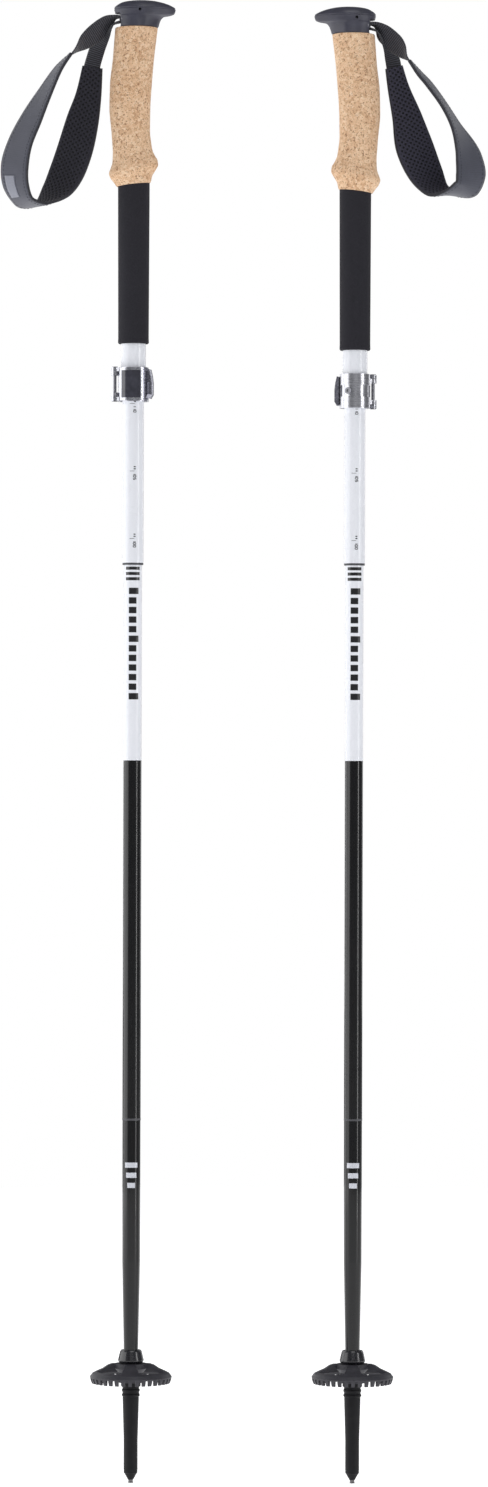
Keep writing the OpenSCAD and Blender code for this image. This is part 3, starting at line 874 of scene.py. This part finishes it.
def strap_piece(name, side, skin, look):
    points, faces, shade_crest = skin
    return build(
        f"{side}_{name}", placed(side, points, "mirrored"), faces, look, f"{side}_strap",
        flip=side == "right", shade_crest=shade_crest,
    )


RIB_PITCH = 1.5


def ribbed_webbing(stations):
    """Webbing with ribs across it and a rounded woven edge."""
    run = run_of(stations, RIB_PITCH / 4)
    shares = np.linspace(-1, 1, 15)
    edge = np.sqrt(np.clip(1 - np.abs(shares) ** 9, 0, 1))

    def outline(k):
        rib = 0.5 + 0.5 * math.cos(2 * math.pi * run[4][k] / RIB_PITCH)
        half = WEBBING_T / 2 * (0.7 + 0.3 * rib) * np.maximum(edge, 0.25)
        # The ribs' relief also goes to the webbing material, which paints shade in the grooves between them.
        shade_crest = rib + 0 * shares
        top = np.stack([shares, half, shade_crest], axis=1)
        return np.concatenate([top, np.stack([shares[::-1], -half[::-1], shade_crest], axis=1)])
    return swept(run, outline)


# The pad's edge is a share of half the band's width; the rest is in millimetres
PAD_EDGE = 0.93
FACE_RIB_PITCH, FACE_RIB_DEPTH = 1.5, 0.08
DIMPLE_PITCH, DIMPLE_DEPTH = 4.4, 0.5
DIMPLE_CROWDING = 1.15    # how much closer the dimples' rows are along the band than across it


def crown(shares):
    """Half thickness of the pad across the band, as a share of the band's half thickness."""
    return 0.5 + 0.5 * np.sqrt(np.clip(1 - (np.abs(shares) / 0.98) ** 6, 0, 1))


def band_face(run):
    """The smooth outer cloth, slightly crowned."""
    shares = np.linspace(-PAD_EDGE, PAD_EDGE, 33)
    half = BAND_T / 2 * crown(shares)

    def outline(k):
        rib = 0.5 + 0.5 * math.cos(2 * math.pi * run[4][k] / FACE_RIB_PITCH)
        # The ribs' relief goes to the band's material, which paints shade in the grooves.
        top = np.stack([shares, half - FACE_RIB_DEPTH * (1 - rib), rib + 0 * shares], axis=1)
        return np.concatenate([top, [[PAD_EDGE, 0, 1], [-PAD_EDGE, 0, 1]]])
    return swept(run, outline)


def band_mesh(run):
    """The inner side: spacer mesh with rows of dimples."""
    shares = np.linspace(PAD_EDGE, -PAD_EDGE, 61)
    half = BAND_T / 2 * crown(shares)
    width, at = run[3], run[4]

    def outline(k):
        x = shares * width[k] / 2 / DIMPLE_PITCH
        y = at[k] / DIMPLE_PITCH * DIMPLE_CROWDING
        hole = np.cos(np.pi * (x + y)) * np.cos(np.pi * (x - y))
        # The dimples are sunk into the mesh, and their low relief also goes to the mesh material, which
        # paints them near black as shade.
        sunk_and_shaded = np.clip((np.abs(hole) - 0.45) / 0.4, 0, 1) * (np.abs(shares) < PAD_EDGE * 0.93)
        bottom = np.stack([shares, -half + DIMPLE_DEPTH * sunk_and_shaded, 1 - sunk_and_shaded], axis=1)
        return np.concatenate([bottom, [[-PAD_EDGE, -0.02, 1], [PAD_EDGE, -0.02, 1]]])
    return swept(run, outline)


# Edge tape and stitches, in millimetres; the squareness is the power that rounds the tape's section
TAPE_WIDTH = 2.6
TAPE_SQUARENESS = 0.6
STITCH_INSET = 7.2


def band_binding(run, edge):
    """Cloth tape folded over one edge of the band."""
    turns = 2 * np.pi * np.arange(20) / 20
    width = run[3]

    def outline(k):
        tape = TAPE_WIDTH / width[k]
        round_x, round_y = np.cos(turns), np.sin(turns)
        x = edge * (1 - tape / 2) + tape / 2 * np.sign(round_x) * np.abs(round_x) ** TAPE_SQUARENESS
        y = 0.98 * np.sign(round_y) * np.abs(round_y) ** TAPE_SQUARENESS
        return np.stack([x, y], axis=1)
    return swept(run, outline)


def stitches(run, share_of, height, pitch=2.6, length=1.5, thick=0.22):
    """A row of short raised threads along the band. share_of gives, for a width, the row's place
    across it as a share of half the width."""
    spots, across, outward, width, at = run
    points, faces = [], []
    place = pitch
    while place < at[-1] - pitch:
        k0 = int(np.searchsorted(at, place - length / 2))
        k1 = int(np.searchsorted(at, place + length / 2))
        ks = np.unique(np.linspace(k0, min(k1, len(at) - 1), 5).astype(int))
        start = len(points)
        for j, k in enumerate(ks):
            share = math.sin(math.pi * (0.12 + 0.76 * j / (len(ks) - 1)))
            base = spots[k] + share_of(width[k]) * width[k] / 2 * across[k] + height * outward[k]
            for a in 2 * np.pi * np.arange(6) / 6:
                points.append(
                    base + thick * share * (math.cos(a) * across[k] + math.sin(a) * outward[k])
                )
        faces += loft_faces(len(ks), 6, start)
        place += pitch
    return np.array(points), faces, np.ones(len(points))


# The patch: depths under the top, places across the band as shares of half its width, how far it
# stands off the cloth and how far it goes into it
PATCH_DEPTHS = (131, 146)
PATCH_SHARES = (-0.62, 0.1)
PATCH_LIFT, PATCH_SUNK = 0.35, 0.2


def plain_patch(run):
    """A plain woven patch sewn on the outer cloth near the bottom of the loop."""
    depth = -run[0][:, 2]
    front = np.arange(len(depth)) < np.argmax(depth)
    inside = front & (depth > PATCH_DEPTHS[0]) & (depth < PATCH_DEPTHS[1])
    shares = np.linspace(*PATCH_SHARES, 9)
    half = BAND_T / 2 * crown(shares)

    def outline(_k):
        top = np.stack([shares, half + PATCH_LIFT], axis=1)
        return np.concatenate([top, np.stack([shares[::-1], half[::-1] - PATCH_SUNK], axis=1)])
    return swept([values[inside] for values in run], outline)


def strap_roll():
    """The webbing's turn round the pin."""
    rings, sides, half, outer = 3, 96, 7.5, PIN_R + WEBBING_T
    turns = 2 * np.pi * np.arange(sides) / sides
    ribs = np.cos(turns * round(2 * math.pi * outer / RIB_PITCH))
    points = []
    for reach, places in (
        (outer - 0.1 + 0.1 * ribs, np.linspace(-half, half, rings)),
        (PIN_R + 0.06 + 0 * ribs, np.linspace(half, -half, rings)),
    ):
        for y in places:
            points.append(np.stack(
                [PIN[0] + reach * np.cos(turns), y + 0 * turns, PIN[2] + reach * np.sin(turns)], axis=1,
            ))
    count = len(points)
    faces = loft_faces(count, sides, capped=False)
    last = (count - 1) * sides
    faces += [(last + i, last + (i + 1) % sides, (i + 1) % sides, i) for i in range(sides)]
    # The roll's rib relief goes to the webbing material too, which paints shade in its grooves.
    return np.concatenate(points), faces, np.tile(0.5 + 0.5 * ribs, count)


def make_strap(side):
    roll = strap_piece("strap_roll", side, strap_roll(), "webbing")
    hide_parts(f"{side}_strap_webbing")
    for word in ("out", "back"):
        strap_piece(f"strap_webbing_{word}", side, ribbed_webbing(STRAPS[side][word]), "webbing")
    run = run_of(STRAPS[side]["band"], BAND_STEP)
    outer = strap_piece("strap_face", side, band_face(run), "band")
    inner = strap_piece("strap_mesh", side, band_mesh(run), f"{side}_mesh")
    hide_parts(f"{side}_strap_band")
    for word, edge in (("inside", 1), ("outside", -1)):
        strap_piece(f"strap_binding_{word}", side, band_binding(run, edge), "binding")
        rows = stitches(run, lambda w, e=edge: e * (1 - STITCH_INSET / w), 0.98 * BAND_T / 2)
        strap_piece(f"strap_stitches_{word}", side, rows, "thread")
    if side == "left":
        strap_piece("strap_patch", side, plain_patch(run), "patch")


for side in SIDES:
    make_strap(side)


# --- printed marks ------------------------------------------------------------------------

# How far a printed mark stands off a tube, how far it goes in, and the widest flat piece of it
PRINT_LIFT = 0.025
PRINT_SUNK = 0.05
PRINT_STEP = 0.6


def wrapped_blocks(blocks, radius):
    """Thin printed blocks round a tube's camera side. Each is x, z, width and height in millimetres,
    x along the surface from the front line."""
    points, faces = [], []
    for x, z, wide, tall in blocks:
        steps = max(2, int(wide / PRINT_STEP) + 1)
        start = len(points)
        for share in np.linspace(-0.5, 0.5, steps + 1):
            a = math.radians(-90) + (x + share * wide) / radius
            for reach in (radius - PRINT_SUNK, radius + PRINT_LIFT):
                for end in (-0.5, 0.5):
                    points.append((reach * math.cos(a), reach * math.sin(a), z + end * tall))
        for k in range(steps):
            s = start + 4 * k
            faces += [
                (s, s + 1, s + 5, s + 4), (s + 2, s + 6, s + 7, s + 3),
                (s + 1, s + 3, s + 7, s + 5), (s, s + 4, s + 6, s + 2),
            ]
        e = start + 4 * steps
        faces += [(start, start + 2, start + 3, start + 1), (e, e + 1, e + 3, e + 2)]
    return np.array(points), faces


def print_on(name, side, blocks, radius, look, body):
    points, faces = wrapped_blocks(blocks, radius)
    spots = points * MM + np.array([AXIS_X[side], 0, 0])
    return build(f"{side}_{name}", spots, faces, look, body, smooth=False)


SEGMENTS = {"0": "abcdef", "1": "bc", "2": "abged", "5": "afgcd"}


def digit_blocks(text, x, z, tall=1.9, wide=1.2, stroke=0.48, gap=0.75):
    """Numbers read from top to bottom, their tops towards +X, centred on x and starting at height z."""
    h, w = tall / 2, wide / 2
    bars = {
        "a": (0, h, wide, stroke), "g": (0, 0, wide, stroke), "d": (0, -h, wide, stroke),
        "f": (-w, h / 2, stroke, h), "b": (w, h / 2, stroke, h),
        "e": (-w, -h / 2, stroke, h), "c": (w, -h / 2, stroke, h),
    }
    blocks = []
    for i, letter in enumerate(text):
        for bar in SEGMENTS[letter]:
            u, v, du, dv = bars[bar]
            down = (i + 0.5) * (wide + gap) + u
            blocks.append((x + v, z - down, dv if dv > stroke else stroke, du if du > stroke else stroke))
    return blocks


# Heights and sizes in millimetres. MARK_110 is the height of the line for 110 centimetres.
# A row of bars: highest bar, pitch downward, how many
SCALE_NUMBERS = (100, 105, 110, 115, 120, 125)
SCALE_UNIT = 10
MARK_110 = {"left": 800.4, "right": 799.2}
TOP_BARS = (678.4, 3.9, 3)
TOP_BAR_SIZE = (11.5, 2.3)
WORD_BARS = (661.6, 7.1, 12)
WORD_BAR_HEIGHT = 4.7
WIDE_WORD_BARS = (0, 5, 11)
WORD_WIDE, WORD_NARROW = 7.6, 5.8
LOWER_BARS = (236, 7.5, 3)
LOWER_BAR_HEIGHT = 3.8
LOWER_WIDEST, LOWER_SHRINK = 10, 2
SHAFT_R = 7.8
MID_R = 6.75
LOWER_R = 6.65


def make_marks(side):
    """A centimetre scale on the shaft, and plain bars on the two sections below it."""
    scale = []
    for number in SCALE_NUMBERS:
        z = MARK_110[side] + (number - 110) * SCALE_UNIT
        scale.append((-0.6, z, 3.6, 0.3))
        scale += [(1.3, z + 1.6, 1.5, 0.8), (1.3, z + 3.2, 1.5, 0.8)]
        scale += digit_blocks(str(number), 1.3, z - 0.9)
    print_on("shaft_scale", side, scale, SHAFT_R, "black_ink", f"{side}_shaft")
    top, pitch, count = TOP_BARS
    bars = [(0, top - pitch * i, *TOP_BAR_SIZE) for i in range(count)]
    top, pitch, count = WORD_BARS
    for i in range(count):
        wide = WORD_WIDE if i in WIDE_WORD_BARS else WORD_NARROW
        bars.append(((wide - WORD_NARROW) / 2, top - pitch * i, wide, WORD_BAR_HEIGHT))
    print_on("section_bars", side, bars, MID_R, "black_ink", f"{side}_middle")
    top, pitch, count = LOWER_BARS
    plain = [
        (0, top - pitch * i, LOWER_WIDEST - LOWER_SHRINK * i, LOWER_BAR_HEIGHT) for i in range(count)
    ]
    print_on("lower_bars", side, plain, LOWER_R, "grey_ink", f"{side}_lower")


for side in SIDES:
    make_marks(side)


# --- joint cords, seen when a joint is folded ------------------------------------------------

CORD_R = 1.15
CORD_SIDES = 16
CORD_INSIDE = 12    # length hidden in each of the two sections, millimetres
ARCH_HALF = 0.1     # half the height over which the cord goes from one section to the other
RINGS_HALF = 0.11   # half the height over which its close rings are spread
ARCH_RINGS = 41


def make_joint_cord(side, name, cone_node):
    """The cord between two sections: it comes out of the lower section's cone and goes up the socket above
    it. Its rings are packed close together at the mouth."""
    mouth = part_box(f"{side}_{cone_node}")[1].z / MM + ARCH_HALF
    spread = np.linspace(RINGS_HALF, -RINGS_HALF, ARCH_RINGS)
    heights = np.concatenate([[mouth + CORD_INSIDE], mouth + spread, [mouth - CORD_INSIDE]])
    x = AXIS_X[side]
    turns = 2 * np.pi * np.arange(CORD_SIDES) / CORD_SIDES
    points = np.concatenate([
        np.stack([x / MM + CORD_R * np.cos(turns), CORD_R * np.sin(turns), h + 0 * turns], axis=1)
        for h in heights[::-1]
    ]) * MM
    faces = loft_faces(len(heights), CORD_SIDES)
    cord = build(f"{side}_{name}", points, faces, "cord", None)
    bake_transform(cord)


for side in SIDES:
    make_joint_cord(side, "upper_joint_cord", "mid_cone")
    make_joint_cord(side, "lower_joint_cord", "lower_cone")


low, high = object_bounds()
